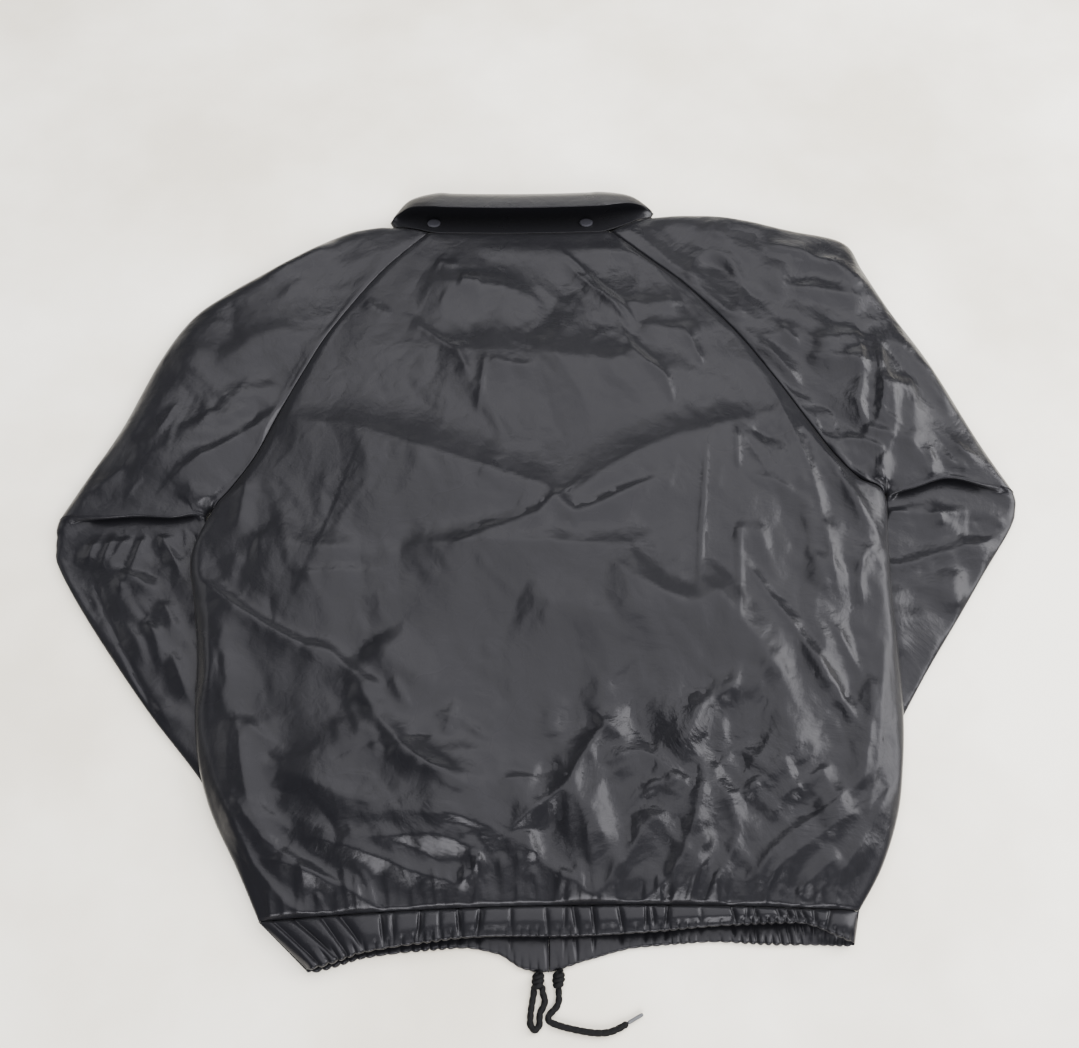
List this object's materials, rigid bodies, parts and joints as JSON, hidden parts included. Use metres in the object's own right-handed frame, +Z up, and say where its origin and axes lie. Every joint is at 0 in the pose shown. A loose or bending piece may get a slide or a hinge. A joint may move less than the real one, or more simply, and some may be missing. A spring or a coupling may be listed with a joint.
{
  "type": "coach jacket",
  "caption": "Light snap-front jacket with raglan sleeves, a turned-down collar and a hem gathered by a drawcord, laid flat with its back up and its forearms tucked beneath.",
  "frame": {"origin": "on the floor under the middle of the garment's outline, drawcord left out", "axes": "+X to the right of the laid jacket's picture, +Y from the hem to the collar, +Z up out of the jacket's back"},
  "size_m": [0.841, 0.7989, 0.0437],
  "materials": {
    "taffeta": "satin",
    "snap_metal": "satin",
    "cord": "matte",
    "cord_tip": "satin"
  },
  "bodies": {
    "root": {"back": "taffeta", "front_left": "taffeta", "front_right": "taffeta", "sleeve_left": "taffeta", "sleeve_right": "taffeta", "cuff_left": "taffeta", "cuff_right": "taffeta", "hem_back": "taffeta", "hem_front_left": "taffeta", "hem_front_right": "taffeta", "collar": "taffeta", "snap_1": "snap_metal", "snap_2": "snap_metal", "snap_3": "snap_metal", "snap_4": "snap_metal", "snap_5": "snap_metal", "collar_snap_left": "snap_metal", "collar_snap_right": "snap_metal", "drawcord_left": "cord", "drawcord_right": "cord", "knot_left": "cord", "knot_right": "cord", "aglet": "cord_tip"}
  },
  "joints": []
}
